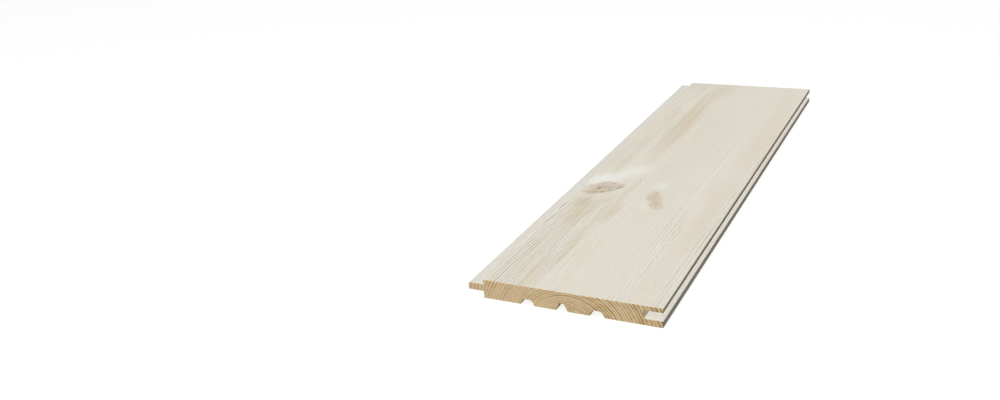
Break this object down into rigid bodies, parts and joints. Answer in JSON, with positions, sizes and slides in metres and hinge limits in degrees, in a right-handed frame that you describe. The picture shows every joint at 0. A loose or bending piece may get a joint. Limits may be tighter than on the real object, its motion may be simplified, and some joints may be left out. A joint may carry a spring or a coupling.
{
  "type": "tongue and groove board",
  "caption": "Flat softwood panelling board with a tongue along one long edge, a matching groove along the other, relief grooves in its back and a white-glazed face.",
  "frame": {"origin": "in the plane of the back, in the middle of the board's outline, tongue included", "axes": "+X across the board from the tongue to the groove, +Y along the grain, +Z from the back to the face"},
  "size_m": [0.12, 0.442, 0.012],
  "materials": {
    "glazed_pine": "thin white glaze on a planed pine face, bare wood on the sawn ends and the back"
  },
  "bodies": {
    "root": {"tongue_and_groove_board": "glazed_pine"}
  },
  "joints": []
}
